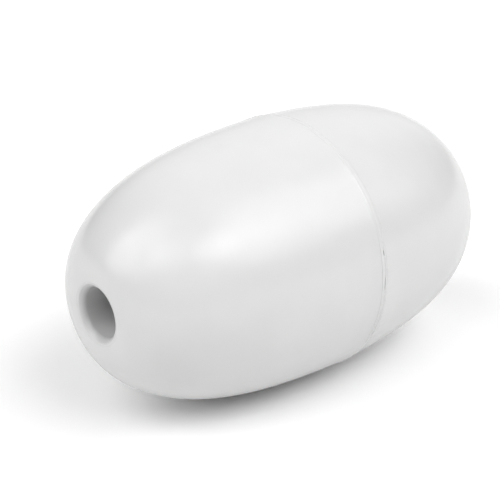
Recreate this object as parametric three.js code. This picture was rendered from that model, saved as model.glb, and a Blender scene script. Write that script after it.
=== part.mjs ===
// Egg-shaped line float: two moulded plastic shells, welded rim to rim, with a rope bore right through.
//
// Millimetres, +Z up. X runs along the bore, from the tapered nose (-X) to the blunt tail (+X), and the
// origin is the middle of the float. Every piece is a solid of revolution about the bore, so each one is a
// closed profile of [radius, depth] points. Depth is measured from the seam plane into the piece's own half.

import * as THREE from "three";

// ---- Driving dimensions ----------------------------------------------------------------------------

const BODY_RADIUS = 38; // at the seam, the widest place
const LAND_RADIUS = 10.6; // outer edge of the flat end face round each mouth
const BORE_MOUTH_RADIUS = 7.0;
const BORE_MIDDLE_RADIUS = 6.8; // the bore narrows a little inwards, so that its mould pin draws out
const LIP_RADIUS = 2.0; // rounding between the end face and the bore

const WALL = 2.4;
const END_WALL = 3.0;
const CORE_WALL_SEAM = 2.1; // wall of the tube round the bore, at the seam
const CORE_WALL_ROOT = 2.7; // and where it joins the end wall
const CORE_ROOT_FILLET = 3.0;

// The two halves. A half's outline is a rounded bowl: the higher edgePower is, the longer the straight run
// beside the seam, and the lower endPower is, the blunter the end. draft is the share of straight cone.
const NOSE = { length: 69.1, edgePower: 2.99, endPower: 1.826, draft: 0.103 };
const TAIL = { length: 61.2, edgePower: 3.213, endPower: 1.837, draft: 0.11 };

const CLEARANCE = 0.3; // between parts that meet
const SIDE_CLEARANCE = 0.35; // beside the tongue, the sleeve and the weld beads

const FLANGE_RADIUS = 33; // inner radius of the thick rim that carries the weld
const FLANGE_DEPTH = 7;
const FLANGE_RUNOUT = 3; // length of the cone between the rim and the wall

const TONGUE_RADIUS = 35.5; // middle of the tongue
const TONGUE_WIDTH = 1.4;
const TONGUE_LENGTH = 2.5;
const RIM_BEAD = 0.8; // thickness of the weld between the tongue's tip and the groove's floor

const FLASH_WIDTH = 0.5; // the thread of squeezed-out plastic that fills the seam
const FLASH_HEIGHT = 0.5;
const FLASH_BELOW_SURFACE = 0.05;

const CORE_BEAD = 0.7; // thickness of the weld between the two tube ends
const CORE_BEAD_STEP = 0.4; // how far that weld stays back from the bore
const SLEEVE_REACH = 6; // the nose's sleeve reaches this far each way from the seam
const SLEEVE_WALL = 1.55;
const SLEEVE_RUNOUT = 2.5;

const SIDES = 48; // flats round the axis
const OUTER_STEPS = 14;
const INNER_STEPS = 9;
const LIP_STEPS = 4;
const FILLET_STEPS = 3;

// ---- Worked-out sizes ------------------------------------------------------------------------------

const SEAM_X = (NOSE.length - TAIL.length) / 2;
const RIM_FACE = CLEARANCE / 2; // depth of each rim's face
const TRAP_DEPTH = FLASH_WIDTH / 2 + CLEARANCE; // half the width of the recess round the flash
const TRAP_RADIUS = BODY_RADIUS - FLASH_BELOW_SURFACE - FLASH_HEIGHT - CLEARANCE;
const GROOVE_FLOOR = TONGUE_LENGTH - RIM_FACE + RIM_BEAD + 2 * CLEARANCE;
const CORE_END = CORE_BEAD / 2 + CLEARANCE; // depth where each tube ends
const CORE_RADIUS = BORE_MIDDLE_RADIUS + CORE_WALL_SEAM;
const ROOT_RADIUS = BORE_MOUTH_RADIUS + CORE_WALL_ROOT;
const SLEEVE_BORE = CORE_RADIUS + SIDE_CLEARANCE;
const SLEEVE_RADIUS = SLEEVE_BORE + SLEEVE_WALL;

// A flat of a many-sided ring lies inside its corners by this factor. Radii are divided by it, so that the
// flats touch the true round surface and the float measures its full diameter across two opposite flats.
const FLAT_TO_CORNER = Math.cos(Math.PI / SIDES);

// ---- Profiles --------------------------------------------------------------------------------------

// Radius of a half's bowl at the share u of its length, from 0 at the seam to 1 at the end face.
function bowlRadius(half, rimRadius, endRadius, u) {
  const rounded = (1 - u ** half.edgePower) ** (1 / half.endPower);
  const share = (1 - half.draft) * rounded + half.draft * (1 - u);
  return endRadius + (rimRadius - endRadius) * share;
}

// The bowl from startDepth to the end face, with its points closer together where it bends more.
function bowl(half, rimRadius, endRadius, length, startDepth, steps) {
  const startAngle = Math.asin((startDepth / length) ** (half.edgePower / 2));
  const points = [];
  for (let i = 0; i <= steps; i++) {
    const angle = startAngle + (Math.PI / 2 - startAngle) * (i / steps);
    const u = Math.min(1, Math.sin(angle) ** (2 / half.edgePower));
    points.push([bowlRadius(half, rimRadius, endRadius, u), u * length]);
  }
  return points;
}

// Points on a circle round [radius, depth], from one angle to another, both in quarter turns.
function arc([radius, depth], size, fromQuarter, toQuarter, steps) {
  const points = [];
  for (let i = 0; i <= steps; i++) {
    const angle = (Math.PI / 2) * (fromQuarter + (toQuarter - fromQuarter) * (i / steps));
    points.push([radius + size * Math.cos(angle), depth + size * Math.sin(angle)]);
  }
  return points;
}

// Outside of a half, from the recess at the seam to the end face, round the lip and down the bore.
function outerSkin(half) {
  const lipCentre = [BORE_MOUTH_RADIUS + LIP_RADIUS, half.length - LIP_RADIUS];
  return [
    [TRAP_RADIUS, RIM_FACE],
    [TRAP_RADIUS, TRAP_DEPTH],
    ...bowl(half, BODY_RADIUS, LAND_RADIUS, half.length, TRAP_DEPTH, OUTER_STEPS),
    ...arc(lipCentre, LIP_RADIUS, 1, 2, LIP_STEPS),
    [BORE_MIDDLE_RADIUS, CORE_END],
  ];
}

// Inside of a half, from the root of the tube round the bore, out along the end wall, to the thick rim.
function innerSkin(half) {
  const length = half.length - END_WALL;
  const endRadius = ROOT_RADIUS + CORE_ROOT_FILLET;
  const filletCentre = [endRadius, length - CORE_ROOT_FILLET];
  const wallStart = FLANGE_DEPTH + FLANGE_RUNOUT;
  const wall = bowl(half, BODY_RADIUS - WALL, endRadius, length, wallStart, INNER_STEPS);
  return [
    ...arc(filletCentre, CORE_ROOT_FILLET, 2, 1, FILLET_STEPS).slice(0, -1),
    ...wall.reverse(),
    [FLANGE_RADIUS, FLANGE_DEPTH],
    [FLANGE_RADIUS, RIM_FACE],
  ];
}

// ---- Solids ----------------------------------------------------------------------------------------

// Revolves a closed profile about the bore. towardsTail is 1 for depths that run to +X, and -1 for -X.
function revolve(profile, towardsTail) {
  const points = profile.map(
    ([radius, depth]) => new THREE.Vector2(radius / FLAT_TO_CORNER, depth * towardsTail),
  );
  points.push(points[0].clone());
  if (towardsTail < 0) {
    points.reverse();
  }
  const halfFlat = Math.PI / SIDES; // turns a flat, not a corner, to face up, down and to each side
  const geometry = new THREE.LatheGeometry(points, SIDES, halfFlat);
  geometry.rotateZ(-Math.PI / 2);
  return geometry;
}

function ring(innerRadius, outerRadius, fromDepth, toDepth) {
  const profile = [
    [innerRadius, fromDepth],
    [outerRadius, fromDepth],
    [outerRadius, toDepth],
    [innerRadius, toDepth],
  ];
  return revolve(profile, 1);
}

// The nose half: a tongue on its rim, and a sleeve on its tube that slips over the tail's tube.
function noseShell() {
  const tongueInner = TONGUE_RADIUS - TONGUE_WIDTH / 2;
  const tongueOuter = TONGUE_RADIUS + TONGUE_WIDTH / 2;
  const tongueTip = RIM_FACE - TONGUE_LENGTH;
  const profile = [
    ...outerSkin(NOSE),
    [SLEEVE_BORE, CORE_END],
    [SLEEVE_BORE, -SLEEVE_REACH],
    [SLEEVE_RADIUS, -SLEEVE_REACH],
    [SLEEVE_RADIUS, SLEEVE_REACH],
    [CORE_RADIUS, SLEEVE_REACH + SLEEVE_RUNOUT],
    ...innerSkin(NOSE),
    [tongueInner, RIM_FACE],
    [tongueInner, tongueTip],
    [tongueOuter, tongueTip],
    [tongueOuter, RIM_FACE],
  ];
  return revolve(profile, -1);
}

// The tail half: a groove in its rim for the nose's tongue, and a plain tube.
function tailShell() {
  const grooveInner = TONGUE_RADIUS - TONGUE_WIDTH / 2 - SIDE_CLEARANCE;
  const grooveOuter = TONGUE_RADIUS + TONGUE_WIDTH / 2 + SIDE_CLEARANCE;
  const profile = [
    ...outerSkin(TAIL),
    [CORE_RADIUS, CORE_END],
    ...innerSkin(TAIL),
    [grooveInner, RIM_FACE],
    [grooveInner, GROOVE_FLOOR],
    [grooveOuter, GROOVE_FLOOR],
    [grooveOuter, RIM_FACE],
  ];
  return revolve(profile, 1);
}

// The main weld, in the floor of the tail's groove, against the tip of the nose's tongue.
function rimWeldBead() {
  const floorSide = GROOVE_FLOOR - CLEARANCE;
  const innerRadius = TONGUE_RADIUS - TONGUE_WIDTH / 2;
  const outerRadius = TONGUE_RADIUS + TONGUE_WIDTH / 2;
  return ring(innerRadius, outerRadius, floorSide - RIM_BEAD, floorSide);
}

// The weld between the ends of the two tubes, under the nose's sleeve. It keeps water out of the hollow.
function coreWeldBead() {
  const innerRadius = BORE_MIDDLE_RADIUS + CORE_BEAD_STEP;
  return ring(innerRadius, CORE_RADIUS, -CORE_BEAD / 2, CORE_BEAD / 2);
}

// The thread of plastic that the weld squeezed out into the seam, trimmed just below the surface.
function seamFlash() {
  const outerRadius = BODY_RADIUS - FLASH_BELOW_SURFACE;
  return ring(outerRadius - FLASH_HEIGHT, outerRadius, -FLASH_WIDTH / 2, FLASH_WIDTH / 2);
}

// ---- Assembly --------------------------------------------------------------------------------------

const WHITE = 0xf1f1ef;
const WELD_WHITE = 0xe6e6e2;

function piece(name, geometry, color, roughness) {
  const material = new THREE.MeshStandardMaterial({ color, roughness, metalness: 0 });
  const mesh = new THREE.Mesh(geometry, material);
  mesh.name = name;
  return mesh;
}

const group = new THREE.Group();
group.position.x = SEAM_X;
group.add(
  piece("nose_shell", noseShell(), WHITE, 0.22),
  piece("tail_shell", tailShell(), WHITE, 0.22),
  piece("rim_weld_bead", rimWeldBead(), WELD_WHITE, 0.5),
  piece("core_weld_bead", coreWeldBead(), WELD_WHITE, 0.5),
  piece("seam_flash", seamFlash(), WELD_WHITE, 0.4),
);

export default group;
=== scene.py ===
"""Egg-shaped white line float, lying on its side on a pale floor in a small photo studio.

Metres, in the CAD's frame: X runs along the bore from the tapered nose (-X) to the blunt tail (+X), and +Z is
up. Every piece is round about the bore, so each one is a closed profile of (radius, depth) points, revolved.
Depth is measured from the seam plane into the piece's own half.
"""

import math

import bpy
import numpy as np
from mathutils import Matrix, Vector, noise


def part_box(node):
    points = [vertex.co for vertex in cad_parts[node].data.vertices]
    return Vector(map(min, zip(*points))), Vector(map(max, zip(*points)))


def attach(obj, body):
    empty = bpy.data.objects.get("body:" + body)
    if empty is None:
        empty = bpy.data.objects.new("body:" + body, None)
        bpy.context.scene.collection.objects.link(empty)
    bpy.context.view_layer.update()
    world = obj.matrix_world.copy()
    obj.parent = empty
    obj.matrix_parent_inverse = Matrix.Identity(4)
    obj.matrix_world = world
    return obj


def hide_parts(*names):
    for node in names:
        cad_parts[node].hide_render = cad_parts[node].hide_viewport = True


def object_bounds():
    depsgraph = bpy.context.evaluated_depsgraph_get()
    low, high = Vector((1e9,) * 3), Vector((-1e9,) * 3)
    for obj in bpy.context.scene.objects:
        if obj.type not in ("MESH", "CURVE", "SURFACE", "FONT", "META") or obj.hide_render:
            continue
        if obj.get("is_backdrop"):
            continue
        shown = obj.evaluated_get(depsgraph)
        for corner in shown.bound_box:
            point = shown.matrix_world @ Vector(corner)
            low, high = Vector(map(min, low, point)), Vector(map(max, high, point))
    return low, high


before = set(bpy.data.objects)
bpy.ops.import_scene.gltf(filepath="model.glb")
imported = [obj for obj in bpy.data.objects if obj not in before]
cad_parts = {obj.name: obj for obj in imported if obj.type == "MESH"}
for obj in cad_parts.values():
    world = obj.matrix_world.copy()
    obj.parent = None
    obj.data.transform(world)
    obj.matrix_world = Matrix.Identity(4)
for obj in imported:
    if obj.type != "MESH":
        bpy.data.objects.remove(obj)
cad_bounds = [list(corner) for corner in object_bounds()]

MM = 0.001

# ---- Sizes taken from the CAD model -----------------------------------------------------------------

CAD_LOW, CAD_HIGH = (Vector(corner) for corner in cad_bounds)
RIM_FACE = 0.15 * MM  # depth of each rim's face
SEAM_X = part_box("tail_shell")[0].x - RIM_FACE
BODY_RADIUS = 38.0 * MM
NOSE_LENGTH = SEAM_X - CAD_LOW.x
TAIL_LENGTH = CAD_HIGH.x - SEAM_X

# ---- The rest of the driving sizes, as in the CAD model ---------------------------------------------

LAND_RADIUS = 10.6 * MM
BORE_MOUTH_RADIUS = 7.0 * MM
BORE_MIDDLE_RADIUS = 6.8 * MM
LIP_RADIUS = 2.0 * MM
WALL = 2.4 * MM
END_WALL = 3.0 * MM
CORE_RADIUS = 8.9 * MM
ROOT_RADIUS = 9.7 * MM
CORE_ROOT_FILLET = 3.0 * MM
CORE_END = 0.65 * MM
FLANGE_RADIUS = 33.0 * MM
FLANGE_DEPTH = 7.0 * MM
FLANGE_RUNOUT = 3.0 * MM
TONGUE_RADIUS = 35.5 * MM
TONGUE_HALF_WIDTH = 0.7 * MM
TONGUE_TIP = -2.35 * MM
GROOVE_HALF_WIDTH = 1.05 * MM
GROOVE_FLOOR = 3.75 * MM
SLEEVE_BORE = 9.25 * MM
SLEEVE_RADIUS = 10.8 * MM
SLEEVE_REACH = 6.0 * MM
SLEEVE_RUNOUT = 2.5 * MM
CORE_BEAD_STEP = 0.4 * MM

NOSE = {"length": NOSE_LENGTH, "edge_power": 2.99, "end_power": 1.826, "draft": 0.103}
TAIL = {"length": TAIL_LENGTH, "edge_power": 3.213, "end_power": 1.837, "draft": 0.11}

# ---- Fine detail that only the looks need -----------------------------------------------------------

# The weld has pushed up a low band of plastic on both sides of the seam, which was then scraped level.
RIM_ROUNDING = 0.06 * MM
BAND_HEIGHT = 0.08 * MM
BAND_LIP = 0.12 * MM  # how far its edge stands above the band
BAND_REACH = 1.15 * MM  # from the seam to where the band ends
BAND_SLOPE = 0.45 * MM
BAND_LUMPS = 110  # in one turn
BAND_GRAINS = 420  # in one turn, on the tail only
BAND_STEPS = 10
HEIGHT_UNEVENNESS = 0.35  # each as a share of the size that it varies
LIP_UNEVENNESS = 0.5
NOSE_REACH_UNEVENNESS = 0.08
TAIL_REACH_UNEVENNESS = 0.1
TAIL_GRAIN_HEIGHT = 1.2
TAIL_GRAIN_REACH = 0.3
NOSE_LIP_SHARE = 0.3  # of BAND_LIP, where the band isn't torn

# The stretch where the scraper tore the band open, in degrees from +Z towards -Y, the camera's side.
TORN_FROM = 68
TORN_TO = 124
TORN_FADE = 7

CORNER_ROUNDING_LIMIT = 0.45  # of the shorter run beside a corner
CORNER_ROUNDING = 0.2 * MM
SIDES = 720
OUTER_STEPS = 72
INNER_STEPS = 28
ROUND_STEPS = 6
LIP_STEPS = 48
LIP_RINGS = (8.1 * MM, 8.7 * MM)  # radii of two faint rings that the core pin left on the lip
LIP_RING_HEIGHT = 0.07 * MM
LIP_RING_HALF_WIDTH = 0.24 * MM
BORE_STEPS = 12

FLASH_SIDES = 1440
FLASH_STEPS = 8
FLASH_LUMPS = 70  # in one turn
FLASH_GRAINS = 260
FLASH_GRAIN_SHARE = 0.6  # of FLASH_RAGGEDNESS
FLASH_LEAN_LUMPS = 120
FLAW_STEEPNESS = 3  # how fast a flaw reaches its full depth: within a third of its half width
FLASH_ROOT = 1.2 * MM  # how deep the thread of flash reaches into the seam
FLASH_SINK = 0.08 * MM  # how far its top lies below the band where that is torn; elsewhere it is flush
FLASH_RAGGEDNESS = 0.03 * MM
FLASH_HALF_WIDTH = 0.17 * MM  # just over half of the gap, so that it clings to both rims
FLASH_CROWN = 0.01 * MM
# Flaws in the flash: middle and half the width, in degrees, and how far its top is sunk (below 0, raised).
FLASH_FLAWS = [
    (71, 0.7, -0.08 * MM),
    (76.7, 1.3, 0.25 * MM),
    (90, 3.0, 0.25 * MM),
    (95, 0.6, -0.08 * MM),
    (116, 1.2, 0.2 * MM),
    (122, 0.7, 0.2 * MM),
    (141, 2.0, 0.2 * MM),
    (219, 1.2, 0.3 * MM),
    (252, 3.0, 0.3 * MM),
    (301, 1.6, 0.2 * MM),
]

# A sliver of flash that lies smeared on the tail beside the seam, and runs into it at its far end.
SLIVER_START = 60
SLIVER_END = 73
SLIVER_OFFSET = 1.3 * MM  # from the seam, where it starts
SLIVER_HALF_WIDTH = 0.16 * MM
SLIVER_HEIGHT = 0.13 * MM
SLIVER_SUNK_SHARE = 0.3  # of its height, pressed into the surface
SLIVER_STEPS = 60
SLIVER_TIP = 0.03  # share of its length left out of the taper at each end, so that its tips aren't points
SLIVER_SWELL_LUMPS = 200  # in one turn
SLIVER_SWELL = 0.25
SLIVER_WANDER_LUMPS = 90
SLIVER_WANDER = 0.06 * MM

BEAD_SIDES = 360
BEAD_ROUNDING = 0.25 * MM
BEAD_RAGGEDNESS = 0.12 * MM
BEAD_LUMPS = 40

SHELL_WHITE = (0.71, 0.71, 0.71, 1)
SHELL_SHADE = (0.695, 0.695, 0.695, 1)
SPECK_GREY = (0.62, 0.62, 0.62, 1)
# Painted shade: a grey base colour for the inside of the bore, standing in for the shade in that hollow.
BORE_PAINTED_SHADE_GREY = (0.58, 0.58, 0.58, 1)
BORE_PAINTED_SHADE_RADIUS = 9.4 * MM  # where the grey painted into the bore as shade ends, out on the lip
SHELL_ROUGHNESS = 0.21
SCUFF_ROUGHNESS = 0.25
WELD_LIGHT = (0.71, 0.71, 0.71, 1)
WELD_DARK = (0.66, 0.66, 0.66, 1)
WELD_ROUGHNESS = (0.3, 0.5)
PLASTIC_IOR = 1.49

FLOW_SIZE = 14 * MM
SPECK_SIZE = 0.7 * MM
SPECK_RANGE = (0.74, 0.8)  # of the noise that makes specks, so that they are few
SPECK_STRENGTH = 0.3
SCUFF_SIZE = 1.5 * MM
SCUFF_STRETCH = (0.15, 1, 1)
SCUFF_TURN = (0.3, 0.5, 0.9)
SCUFF_RANGE = (0.35, 0.8)
WAVE_SIZE = 11 * MM
WAVE_HEIGHT = 0.12 * MM
PEEL_SIZE = 1.6 * MM
PEEL_HEIGHT = 0.004 * MM
CLOUD_SIZE = 1.2 * MM
WRINKLE_SIZE = 0.4 * MM
WRINKLE_HEIGHT = 0.03 * MM
MIDDLE_RANGE = (0.3, 0.7)  # where most of a noise lies


# ---- Profiles ---------------------------------------------------------------------------------------

def bowl_radius(half, rim_radius, end_radius, u):
    """Radius of a half at the share u of its length, from 0 at the seam to 1 at the end face."""
    rounded = max(0.0, 1.0 - u ** half["edge_power"]) ** (1.0 / half["end_power"])
    share = (1.0 - half["draft"]) * rounded + half["draft"] * (1.0 - u)
    return end_radius + (rim_radius - end_radius) * share


def bowl(half, rim_radius, end_radius, length, start_depth, steps):
    """The bowl from start_depth to the end face, with its points closer together where it bends more."""
    start = math.asin((start_depth / length) ** (half["edge_power"] / 2))
    points = []
    for i in range(steps + 1):
        angle = start + (math.pi / 2 - start) * i / steps
        u = min(1.0, math.sin(angle) ** (2 / half["edge_power"]))
        points.append((bowl_radius(half, rim_radius, end_radius, u), u * length))
    return points


def arc(centre, size, from_quarter, to_quarter, steps):
    """Points on a circle in the profile's plane, from one angle to another, both in quarter turns."""
    points = []
    for i in range(steps + 1):
        angle = math.pi / 2 * (from_quarter + (to_quarter - from_quarter) * i / steps)
        points.append((centre[0] + size * math.cos(angle), centre[1] + size * math.sin(angle)))
    return points


def rounded_corners(points, size, steps):
    """An open run of points with each inner corner rounded off by a small arc."""
    result = [points[0]]
    for before, corner, after in zip(points, points[1:], points[2:]):
        corner = Vector(corner)
        towards_before = Vector(before) - corner
        towards_after = Vector(after) - corner
        shorter = min(towards_before.length, towards_after.length)
        reach = min(size, shorter * CORNER_ROUNDING_LIMIT)
        start = corner + towards_before.normalized() * reach
        end = corner + towards_after.normalized() * reach
        for i in range(steps + 1):
            t = i / steps
            point = start * (1 - t) ** 2 + corner * 2 * t * (1 - t) + end * t ** 2
            result.append(tuple(point))
    result.append(points[-1])
    return result


def lip_rings(radius):
    """How far the rings on the lip stand out at a radius."""
    height = 0.0
    for ring in LIP_RINGS:
        share = max(0.0, 1 - ((radius - ring) / LIP_RING_HALF_WIDTH) ** 2)
        height += LIP_RING_HEIGHT * share ** 2
    return height


def outer_skin(half, band):
    """Outside of a half: from the band at the seam to the end face, round the lip and down the bore."""
    height, lip, reach = band
    edge_depth = RIM_FACE + RIM_ROUNDING
    crest = bowl_radius(half, BODY_RADIUS, LAND_RADIUS, edge_depth / half["length"]) + height
    edge = arc((crest - RIM_ROUNDING, edge_depth), RIM_ROUNDING, -1, 0, ROUND_STEPS)
    slope_start = reach - BAND_SLOPE
    for i in range(BAND_STEPS):
        t = i / BAND_STEPS
        depth = slope_start + BAND_SLOPE * t
        surface = bowl_radius(half, BODY_RADIUS, LAND_RADIUS, depth / half["length"])
        fall = 1 - t * t * (3 - 2 * t)
        edge.append((surface + height * fall + lip * math.sin(math.pi * t) ** 2, depth))
    outside = bowl(half, BODY_RADIUS, LAND_RADIUS, half["length"], reach, OUTER_STEPS)
    lip_centre = (BORE_MOUTH_RADIUS + LIP_RADIUS, half["length"] - LIP_RADIUS)
    lip = arc(lip_centre, LIP_RADIUS, 1, 2, LIP_STEPS)
    lip = [(radius, depth + lip_rings(radius)) for radius, depth in lip]
    bore_length = lip_centre[1] - CORE_END
    bore = []
    for i in range(1, BORE_STEPS):
        t = i / BORE_STEPS
        radius = BORE_MOUTH_RADIUS + (BORE_MIDDLE_RADIUS - BORE_MOUTH_RADIUS) * t
        bore.append((radius, lip_centre[1] - bore_length * t))
    return edge + outside + lip + bore


def inner_skin(half):
    """Inside of a half: from the root of the bore tube, out along the end wall, to the thick rim."""
    length = half["length"] - END_WALL
    end_radius = ROOT_RADIUS + CORE_ROOT_FILLET
    fillet = arc((end_radius, length - CORE_ROOT_FILLET), CORE_ROOT_FILLET, 2, 1, ROUND_STEPS)
    wall_start = FLANGE_DEPTH + FLANGE_RUNOUT
    wall = bowl(half, BODY_RADIUS - WALL, end_radius, length, wall_start, INNER_STEPS)
    return fillet[:-1] + wall[::-1]


def rim_and_core(half, core, rim, band):
    """Joins a half's skins by its tube end (core) and its rim joint (rim) into one closed profile."""
    outside = outer_skin(half, band)
    inside = inner_skin(half)
    core_run = rounded_corners([outside[-1]] + core + [inside[0]], CORNER_ROUNDING, 3)
    rim_run = rounded_corners([inside[-1]] + rim + [outside[0]], CORNER_ROUNDING, 3)
    return outside + core_run[1:-1] + inside + rim_run[1:-1]


def nose_profile(band):
    core = [
        (BORE_MIDDLE_RADIUS, CORE_END),
        (SLEEVE_BORE, CORE_END),
        (SLEEVE_BORE, -SLEEVE_REACH),
        (SLEEVE_RADIUS, -SLEEVE_REACH),
        (SLEEVE_RADIUS, SLEEVE_REACH),
        (CORE_RADIUS, SLEEVE_REACH + SLEEVE_RUNOUT),
    ]
    rim = [
        (FLANGE_RADIUS, FLANGE_DEPTH),
        (FLANGE_RADIUS, RIM_FACE),
        (TONGUE_RADIUS - TONGUE_HALF_WIDTH, RIM_FACE),
        (TONGUE_RADIUS - TONGUE_HALF_WIDTH, TONGUE_TIP),
        (TONGUE_RADIUS + TONGUE_HALF_WIDTH, TONGUE_TIP),
        (TONGUE_RADIUS + TONGUE_HALF_WIDTH, RIM_FACE),
    ]
    return rim_and_core(NOSE, core, rim, band)


def tail_profile(band):
    core = [
        (BORE_MIDDLE_RADIUS, CORE_END),
        (CORE_RADIUS, CORE_END),
    ]
    rim = [
        (FLANGE_RADIUS, FLANGE_DEPTH),
        (FLANGE_RADIUS, RIM_FACE),
        (TONGUE_RADIUS - GROOVE_HALF_WIDTH, RIM_FACE),
        (TONGUE_RADIUS - GROOVE_HALF_WIDTH, GROOVE_FLOOR),
        (TONGUE_RADIUS + GROOVE_HALF_WIDTH, GROOVE_FLOOR),
        (TONGUE_RADIUS + GROOVE_HALF_WIDTH, RIM_FACE),
    ]
    return rim_and_core(TAIL, core, rim, band)


# ---- Meshes -----------------------------------------------------------------------------------------

def place(radius, x, angle):
    """A point at an angle round the bore, measured from +Z towards -Y, the camera's side."""
    return (x, -radius * math.sin(angle), radius * math.cos(angle))


def ripple(angle, lumps, row):
    """Smooth noise round the bore, from -1 to 1, with that many lumps in a turn; each row is different."""
    reach = lumps / (2 * math.pi)
    return noise.noise(Vector((reach * math.cos(angle), reach * math.sin(angle), row)))


def bridged(rings, closed):
    """Vertices and faces of the skin over rings of points, shut round a turn or capped at its ends."""
    count = len(rings[0])
    vertices = [point for ring in rings for point in ring]
    faces = []
    for s in range(len(rings) if closed else len(rings) - 1):
        t = (s + 1) % len(rings)
        for i in range(count):
            j = (i + 1) % count
            faces.append((s * count + i, s * count + j, t * count + j, t * count + i))
    if not closed:
        last = (len(rings) - 1) * count
        faces.append(tuple(reversed(range(count))))
        faces.append(tuple(last + i for i in range(count)))
    return vertices, faces


def signed_volume(vertices, faces):
    """Positive where the faces point outwards."""
    co = np.array(vertices)
    total = 0.0
    for size in {len(face) for face in faces}:
        loop = np.array([face for face in faces if len(face) == size])
        for i in range(1, size - 1):
            a, b, c = (co[loop[:, k]] for k in (0, i, i + 1))
            total += np.einsum("ij,ij->", a, np.cross(b, c))
    return total


def add_piece(name, skins, stands_for, material):
    """One piece, made of closed skins of (vertices, faces), which takes a CAD node's place."""
    vertices = []
    faces = []
    for skin_vertices, skin_faces in skins:
        outwards = signed_volume(skin_vertices, skin_faces) > 0
        for face in skin_faces:
            corners = [corner + len(vertices) for corner in face]
            faces.append(corners if outwards else corners[::-1])
        vertices.extend(skin_vertices)
    mesh = bpy.data.meshes.new(name)
    mesh.from_pydata(vertices, [], faces)
    mesh.shade_smooth()
    mesh.materials.append(material)
    piece = bpy.data.objects.new(name, mesh)
    bpy.context.scene.collection.objects.link(piece)
    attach(piece, "root")
    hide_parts(stands_for)


def torn(angle):
    """How far the band is torn open at an angle, from 0 to 1."""
    degrees = math.degrees(angle)
    return max(0.0, min(1.0, (degrees - TORN_FROM) / TORN_FADE, (TORN_TO - degrees) / TORN_FADE))


def nose_band(angle):
    """Height, lip and reach of the band on the nose at an angle: nearly even, with a crisp edge all round."""
    height = BAND_HEIGHT * (1 + HEIGHT_UNEVENNESS * ripple(angle, BAND_LUMPS, 11))
    lip_share = NOSE_LIP_SHARE + (1 - NOSE_LIP_SHARE) * torn(angle)
    lip = BAND_LIP * lip_share * (1 + LIP_UNEVENNESS * ripple(angle, BAND_LUMPS, 17))
    reach = BAND_REACH * (1 + NOSE_REACH_UNEVENNESS * ripple(angle, BAND_LUMPS, 12))
    return height, lip, reach


def tail_band(angle):
    """The same on the tail: scraped, so that its edge is grainy, and only stands up where it is torn."""
    uneven = HEIGHT_UNEVENNESS * ripple(angle, BAND_LUMPS, 13)
    height = BAND_HEIGHT * (1 + uneven + TAIL_GRAIN_HEIGHT * ripple(angle, BAND_GRAINS, 14))
    lip = BAND_LIP * torn(angle) * (1 + LIP_UNEVENNESS * ripple(angle, BAND_LUMPS, 18))
    uneven = TAIL_REACH_UNEVENNESS * ripple(angle, BAND_LUMPS, 15)
    reach = BAND_REACH * (1 + uneven + TAIL_GRAIN_REACH * ripple(angle, BAND_GRAINS, 16))
    return height, lip, reach


def shell_skin(profile, band, side):
    """A half: its (radius, depth) profile turned about the bore, with a band that varies round the seam."""
    rings = []
    for s in range(SIDES):
        angle = 2 * math.pi * s / SIDES
        rings.append([place(radius, SEAM_X + side * depth, angle) for radius, depth in profile(band(angle))])
    return bridged(rings, True)


def flash_top(angle):
    """Radius of the top of the flash at an angle: ragged, and sunk deep where a slit is left open."""
    ragged = ripple(angle, FLASH_LUMPS, 1) + FLASH_GRAIN_SHARE * ripple(angle, FLASH_GRAINS, 2)
    top = BODY_RADIUS + BAND_HEIGHT - FLASH_SINK * torn(angle) + FLASH_RAGGEDNESS * ragged
    for middle, half_width, depth in FLASH_FLAWS:
        away = abs((math.degrees(angle) - middle + 180) % 360 - 180) / half_width
        if away < 1:
            top -= depth * min(1.0, FLAW_STEEPNESS * (1 - away))
    return top


def flash_skin():
    """The thread of flash all round the seam."""
    rings = []
    for s in range(FLASH_SIDES):
        angle = 2 * math.pi * s / FLASH_SIDES
        top = flash_top(angle)
        lean = FLASH_CROWN * ripple(angle, FLASH_LEAN_LUMPS, 3)
        section = []
        for i in range(FLASH_STEPS + 1):
            across = 2 * i / FLASH_STEPS - 1
            radius = top - FLASH_CROWN * across ** 2 + lean * across
            section.append((radius, SEAM_X + FLASH_HALF_WIDTH * across))
        root = min(BODY_RADIUS - FLASH_ROOT, top - 4 * FLASH_CROWN)
        section.append((root, SEAM_X + FLASH_HALF_WIDTH))
        section.append((root, SEAM_X - FLASH_HALF_WIDTH))
        rings.append([place(radius, x, angle) for radius, x in section])
    return bridged(rings, True)


def sliver_skin():
    """The smeared sliver: a thin ridge on the tail's surface, tapered to nothing at both ends."""
    rings = []
    for s in range(SLIVER_STEPS + 1):
        along = s / SLIVER_STEPS
        angle = math.radians(SLIVER_START + (SLIVER_END - SLIVER_START) * along)
        taper = math.sqrt(math.sin(math.pi * min(1 - SLIVER_TIP, max(SLIVER_TIP, along))))
        swell = taper * (1 + SLIVER_SWELL * ripple(angle, SLIVER_SWELL_LUMPS, 4))
        wander = SLIVER_WANDER * ripple(angle, SLIVER_WANDER_LUMPS, 5)
        offset = SLIVER_OFFSET * (1 - along ** 2) + wander
        section = []
        for i in range(FLASH_STEPS + 1):
            across = 2 * i / FLASH_STEPS - 1
            depth = RIM_FACE + RIM_ROUNDING + offset + SLIVER_HALF_WIDTH * swell * across
            surface = bowl_radius(TAIL, BODY_RADIUS, LAND_RADIUS, depth / TAIL["length"])
            proud = SLIVER_HEIGHT * (swell * (1 - across ** 2) - SLIVER_SUNK_SHARE)
            section.append((surface + proud, SEAM_X + depth))
        for radius, x in section[::-1][1:-1]:
            section.append((radius - 2 * SLIVER_HEIGHT, x))
        rings.append([place(radius, x, angle) for radius, x in section])
    return bridged(rings, False)


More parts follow.
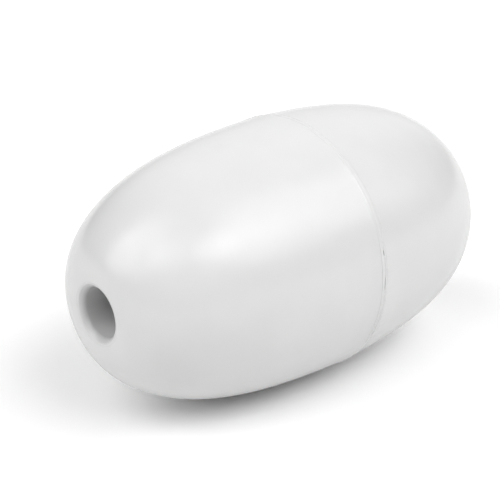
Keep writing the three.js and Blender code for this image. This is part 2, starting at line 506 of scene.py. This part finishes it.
def bead_skin(node, inner_radius, row):
    """A lumpy weld bead, as long and as wide as its CAD node, which has the inner radius given."""
    low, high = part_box(node)
    rings = []
    for s in range(BEAD_SIDES):
        angle = 2 * math.pi * s / BEAD_SIDES
        pinch = [BEAD_RAGGEDNESS * (0.5 + 0.5 * ripple(angle, BEAD_LUMPS, row + k)) for k in range(3)]
        outer = high.z - pinch[0] - BEAD_ROUNDING
        inner = inner_radius + BEAD_ROUNDING
        start = low.x + pinch[1] + BEAD_ROUNDING
        end = high.x - pinch[2] - BEAD_ROUNDING
        section = []
        for quarter, centre in enumerate([(outer, end), (inner, end), (inner, start), (outer, start)]):
            section.extend(arc(centre, BEAD_ROUNDING, quarter, quarter + 1, ROUND_STEPS))
        rings.append([place(radius, x, angle) for radius, x in section])
    return bridged(rings, True)


# ---- Camera -----------------------------------------------------------------------------------------

CAMERA_AZIMUTH = math.radians(-42.22)
CAMERA_ELEVATION = math.radians(24.08)
CAMERA_DISTANCE = 0.3644
CAMERA_AIM = Vector((-0.00654, 0.00528, -0.00108))
LENS = 90.0
SENSOR = 36.0


def add_camera():
    away = Vector((
        math.sin(CAMERA_AZIMUTH) * math.cos(CAMERA_ELEVATION),
        -math.cos(CAMERA_AZIMUTH) * math.cos(CAMERA_ELEVATION),
        math.sin(CAMERA_ELEVATION),
    ))
    data = bpy.data.cameras.new("camera")
    data.lens = LENS
    data.sensor_width = SENSOR
    data.clip_start = 0.01
    camera = bpy.data.objects.new("camera", data)
    camera.location = CAMERA_AIM + away * CAMERA_DISTANCE
    camera.rotation_euler = away.to_track_quat("Z", "Y").to_euler()
    bpy.context.scene.collection.objects.link(camera)
    bpy.context.scene.camera = camera


# ---- Materials --------------------------------------------------------------------------------------

def new_material(name):
    material = bpy.data.materials.new(name)
    material.use_nodes = True
    nodes = material.node_tree.nodes
    return material, nodes, material.node_tree.links, nodes["Principled BSDF"]


def noise_texture(nodes, links, coords, size, detail):
    """Noise with lumps of the given size, in metres."""
    texture = nodes.new("ShaderNodeTexNoise")
    texture.inputs["Scale"].default_value = 1 / size
    texture.inputs["Detail"].default_value = detail
    links.new(coords, texture.inputs["Vector"])
    return texture.outputs["Fac"]


def spread(nodes, links, value, low, high, to_low, to_high):
    """Maps a value from low..high to to_low..to_high, smoothly, and holds it there."""
    node = nodes.new("ShaderNodeMapRange")
    node.interpolation_type = "SMOOTHSTEP"
    node.inputs["From Min"].default_value = low
    node.inputs["From Max"].default_value = high
    node.inputs["To Min"].default_value = to_low
    node.inputs["To Max"].default_value = to_high
    links.new(value, node.inputs["Value"])
    return node.outputs["Result"]


def mixed_colour(nodes, links, factor, first, second):
    """From the first colour to the second as the factor goes from 0 to 1; the first may be a socket."""
    node = nodes.new("ShaderNodeMix")
    node.data_type = "RGBA"
    links.new(factor, node.inputs["Factor"])
    if isinstance(first, tuple):
        node.inputs[6].default_value = first
    else:
        links.new(first, node.inputs[6])
    node.inputs[7].default_value = second
    return node.outputs[2]


def bumped(nodes, links, height, distance, under):
    """A bump of a height map on top of another bump, or on the bare surface if under is None."""
    node = nodes.new("ShaderNodeBump")
    node.inputs["Distance"].default_value = distance
    links.new(height, node.inputs["Height"])
    if under is not None:
        links.new(under, node.inputs["Normal"])
    return node.outputs["Normal"]


def shell_plastic():
    """Glossy white plastic: flow marks, specks, sink waves, orange peel, soft scuffs and painted shade in the
    bore.
    """
    material, nodes, links, shader = new_material("shell_plastic")
    coords = nodes.new("ShaderNodeTexCoord").outputs["Object"]

    flow = spread(nodes, links, noise_texture(nodes, links, coords, FLOW_SIZE, 3), *MIDDLE_RANGE, 0, 1)
    white = mixed_colour(nodes, links, flow, SHELL_WHITE, SHELL_SHADE)
    specks = noise_texture(nodes, links, coords, SPECK_SIZE, 1)
    specks = spread(nodes, links, specks, *SPECK_RANGE, 0, SPECK_STRENGTH)
    speckled = mixed_colour(nodes, links, specks, white, SPECK_GREY)

    across = nodes.new("ShaderNodeVectorMath")
    across.operation = "MULTIPLY"
    across.inputs[1].default_value = (0, 1, 1)
    links.new(coords, across.inputs[0])
    from_axis = nodes.new("ShaderNodeVectorMath")
    from_axis.operation = "LENGTH"
    links.new(across.outputs["Vector"], from_axis.inputs[0])
    radius = from_axis.outputs["Value"]
    # Painted shade: the base colour turns grey inside the bore and fades out across the lip.
    painted_bore_shade = spread(nodes, links, radius, BORE_MOUTH_RADIUS, BORE_PAINTED_SHADE_RADIUS, 1, 0)
    links.new(mixed_colour(nodes, links, painted_bore_shade, speckled, BORE_PAINTED_SHADE_GREY), shader.inputs["Base Color"])

    stretched = nodes.new("ShaderNodeMapping")
    stretched.inputs["Scale"].default_value = SCUFF_STRETCH
    stretched.inputs["Rotation"].default_value = SCUFF_TURN
    links.new(coords, stretched.inputs["Vector"])
    scuffs = noise_texture(nodes, links, stretched.outputs["Vector"], SCUFF_SIZE, 4)
    dulled = spread(nodes, links, scuffs, *SCUFF_RANGE, SHELL_ROUGHNESS, SCUFF_ROUGHNESS)
    links.new(dulled, shader.inputs["Roughness"])

    waves = bumped(nodes, links, noise_texture(nodes, links, coords, WAVE_SIZE, 0), WAVE_HEIGHT, None)
    peel = bumped(nodes, links, noise_texture(nodes, links, coords, PEEL_SIZE, 2), PEEL_HEIGHT, waves)
    links.new(peel, shader.inputs["Normal"])
    shader.inputs["IOR"].default_value = PLASTIC_IOR
    return material


def weld_plastic():
    """The same plastic after it has melted and set again: duller, cloudy and finely wrinkled."""
    material, nodes, links, shader = new_material("weld_plastic")
    coords = nodes.new("ShaderNodeTexCoord").outputs["Object"]
    cloud = noise_texture(nodes, links, coords, CLOUD_SIZE, 2)
    links.new(mixed_colour(nodes, links, cloud, WELD_LIGHT, WELD_DARK), shader.inputs["Base Color"])
    dulled = spread(nodes, links, cloud, *MIDDLE_RANGE, *WELD_ROUGHNESS)
    links.new(dulled, shader.inputs["Roughness"])
    wrinkles = noise_texture(nodes, links, coords, WRINKLE_SIZE, 3)
    links.new(bumped(nodes, links, wrinkles, WRINKLE_HEIGHT, None), shader.inputs["Normal"])
    shader.inputs["IOR"].default_value = PLASTIC_IOR
    return material


# ---- Studio -----------------------------------------------------------------------------------------

FLOOR_SIZE = 16.0
PAPER_WHITE = (0.86, 0.86, 0.86, 1)
PAPER_OVEREXPOSED = (1.01, 1.01, 1.01, 1)

# Soft lamps far round the float, each a round patch of the sky that fades out at its edge:
# name, angle from -Y towards +X, height, radius of its even middle, radius of its edge (degrees), strength.
LAMPS = [
    ("right_softbox", 30, 45, 20, 30, 2.0),
    ("right_softbox_core", 30, 45, 0, 15, 1.2),
    ("right_softbox_rim", 55, 50, 25, 35, 0.5),
    ("right_softbox_foot", 55, 25, 0, 15, 0.8),
    ("front_box", -10, 50, 5, 15, 3.0),
    ("front_box_side", 10, 40, 10, 20, 1.0),
    ("left_softbox", -100, 45, 20, 30, 1.3),
    ("left_softbox_top", -60, 50, 5, 20, 1.8),
    ("left_softbox_middle", -115, 35, 10, 25, 1.7),
    ("left_softbox_foot", -120, 15, 0, 15, 1.6),
    ("left_softbox_back", -120, 60, 10, 20, 1.0),
    ("backdrop", 135, 30, 10, 45, 0.9),
    ("backdrop_foot", 110, 5, 0, 15, 0.3),
    ("ceiling", 40, 85, 35, 55, 0.2),
]
SKY_SEEN = 1.0  # to the camera, everything past the paper is white too


def add_floor(z):
    """White paper, lit past full white as in a product photograph, so that only the deepest shadow shows."""
    half = FLOOR_SIZE / 2
    mesh = bpy.data.meshes.new("floor")
    corners = [(-half, -half, z), (half, -half, z), (half, half, z), (-half, half, z)]
    mesh.from_pydata(corners, [], [(0, 1, 2, 3)])
    floor = bpy.data.objects.new("floor", mesh)
    bpy.context.scene.collection.objects.link(floor)
    material = bpy.data.materials.new("floor_paper")
    material.use_nodes = True
    nodes = material.node_tree.nodes
    links = material.node_tree.links
    nodes.clear()
    paper = nodes.new("ShaderNodeBsdfDiffuse")
    seen = nodes.new("ShaderNodeLightPath").outputs["Is Camera Ray"]
    links.new(mixed_colour(nodes, links, seen, PAPER_WHITE, PAPER_OVEREXPOSED), paper.inputs["Color"])
    links.new(paper.outputs["BSDF"], nodes.new("ShaderNodeOutputMaterial").inputs["Surface"])
    mesh.materials.append(material)
    floor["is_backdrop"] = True


def direction(azimuth, height):
    a = math.radians(azimuth)
    h = math.radians(height)
    return (math.sin(a) * math.cos(h), -math.cos(a) * math.cos(h), math.sin(h))


def add_studio_light():
    world = bpy.data.worlds.new("studio")
    bpy.context.scene.world = world
    world.use_nodes = True
    nodes = world.node_tree.nodes
    links = world.node_tree.links
    background = nodes["Background"]
    coords = nodes.new("ShaderNodeTexCoord")
    total = None
    for name, azimuth, height, middle, edge, strength in LAMPS:
        facing = nodes.new("ShaderNodeVectorMath")
        facing.operation = "DOT_PRODUCT"
        facing.name = name
        facing.inputs[1].default_value = direction(azimuth, height)
        links.new(coords.outputs["Generated"], facing.inputs[0])
        fade = nodes.new("ShaderNodeMapRange")
        fade.interpolation_type = "SMOOTHSTEP"
        fade.inputs["From Min"].default_value = math.cos(math.radians(edge))
        fade.inputs["From Max"].default_value = math.cos(math.radians(middle))
        fade.inputs["To Max"].default_value = strength
        links.new(facing.outputs["Value"], fade.inputs["Value"])
        if total is None:
            total = fade.outputs["Result"]
            continue
        add = nodes.new("ShaderNodeMath")
        add.operation = "ADD"
        links.new(total, add.inputs[0])
        links.new(fade.outputs["Result"], add.inputs[1])
        total = add.outputs["Value"]
    seen = nodes.new("ShaderNodeLightPath").outputs["Is Camera Ray"]
    sky = nodes.new("ShaderNodeMix")
    sky.inputs["B"].default_value = SKY_SEEN
    links.new(seen, sky.inputs["Factor"])
    links.new(total, sky.inputs["A"])
    links.new(sky.outputs["Result"], background.inputs["Strength"])
    background.inputs["Color"].default_value = (1, 1, 1, 1)


# ---- Assembly ---------------------------------------------------------------------------------------

add_camera()

shell_white = shell_plastic()
weld_white = weld_plastic()
rim_bead_inner = TONGUE_RADIUS - TONGUE_HALF_WIDTH
core_bead_inner = BORE_MIDDLE_RADIUS + CORE_BEAD_STEP

nose_skin = shell_skin(nose_profile, nose_band, -1)
tail_skin = shell_skin(tail_profile, tail_band, 1)
add_piece("nose_shell_fine", [nose_skin], "nose_shell", shell_white)
add_piece("tail_shell_fine", [tail_skin], "tail_shell", shell_white)
add_piece("seam_flash_fine", [flash_skin(), sliver_skin()], "seam_flash", weld_white)
beads = [("rim_weld_bead", rim_bead_inner, 21), ("core_weld_bead", core_bead_inner, 31)]
for node, inner_radius, row in beads:
    add_piece(node + "_fine", [bead_skin(node, inner_radius, row)], node, weld_white)

add_floor(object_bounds()[0][2])
add_studio_light()
bpy.context.scene.view_settings.view_transform = "Standard"
